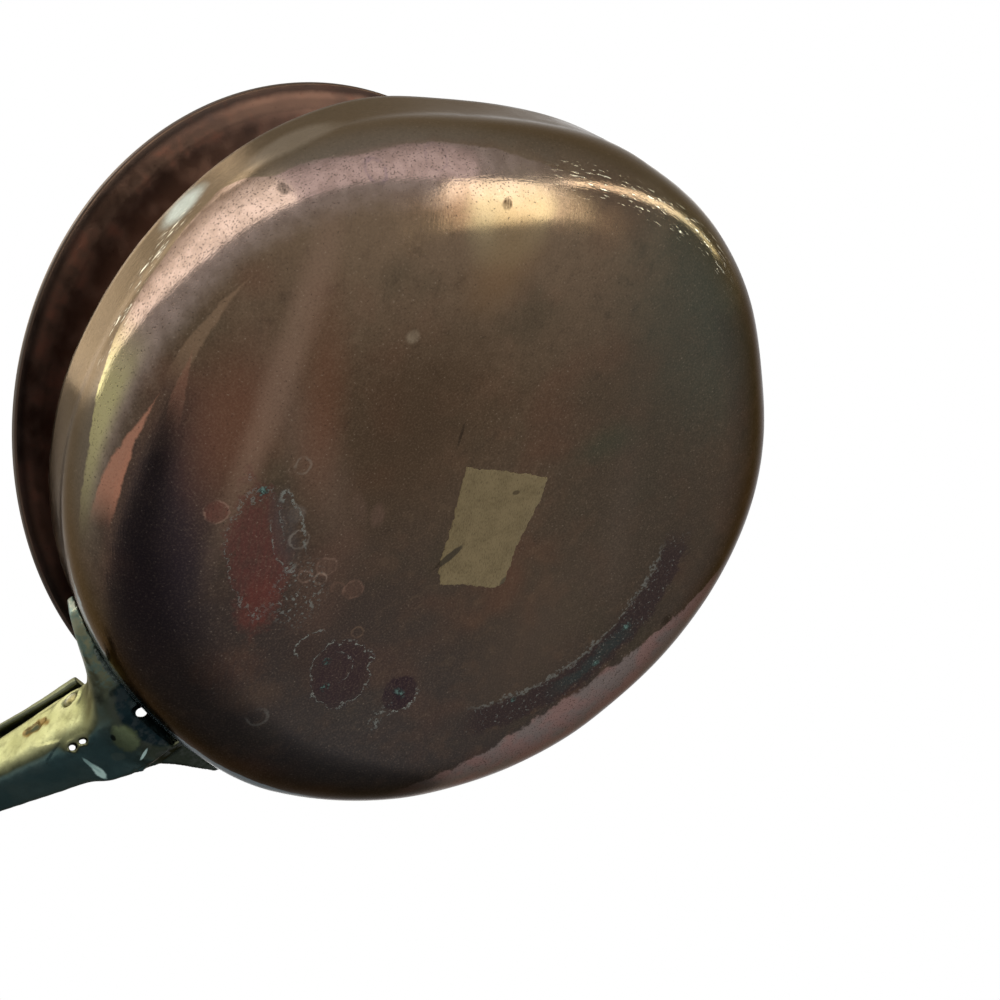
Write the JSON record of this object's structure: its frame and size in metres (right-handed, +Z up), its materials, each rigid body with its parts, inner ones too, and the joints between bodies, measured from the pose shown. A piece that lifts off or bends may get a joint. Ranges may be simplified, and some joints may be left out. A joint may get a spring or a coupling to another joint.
{
  "type": "silent butler",
  "caption": "Round lidded copper crumb pan with a cast brass handle forked onto its wall; a thumb lever over the handle opens the hinged lid.",
  "frame": {"origin": "centre of the pan's flat base, on the surface that it stands on", "axes": "+Z up through the pan's mouth, +X along the handle, Y across the handle and along the hinge pin"},
  "size_m": [0.331, 0.196, 0.1204],
  "materials": {
    "pan_copper": "old copper with a brown patina, stains and dull polish",
    "lid_copper": "dark reddish-brown tarnished copper",
    "handle_brass": "cast brass, worn and tarnished",
    "pin_brass": "bright worn brass",
    "braze": "dull filler metal with green verdigris"
  },
  "bodies": {
    "pan": {"pan": "pan_copper", "handle": "handle_brass", "hinge_pin": "pin_brass", "braze_bead_left": "braze", "braze_bead_right": "braze"},
    "lid": {"lid": "lid_copper", "lid_lever": "handle_brass", "lid_rivet_1": "pin_brass", "lid_rivet_2": "pin_brass"}
  },
  "joints": [
    {"name": "lid_hinge", "type": "hinge", "parent": "pan", "child": "lid", "pos_m": [0.11, 0, 0.0407], "axis": [0, 1, 0], "range_deg": [-22.4, 3]}
  ]
}
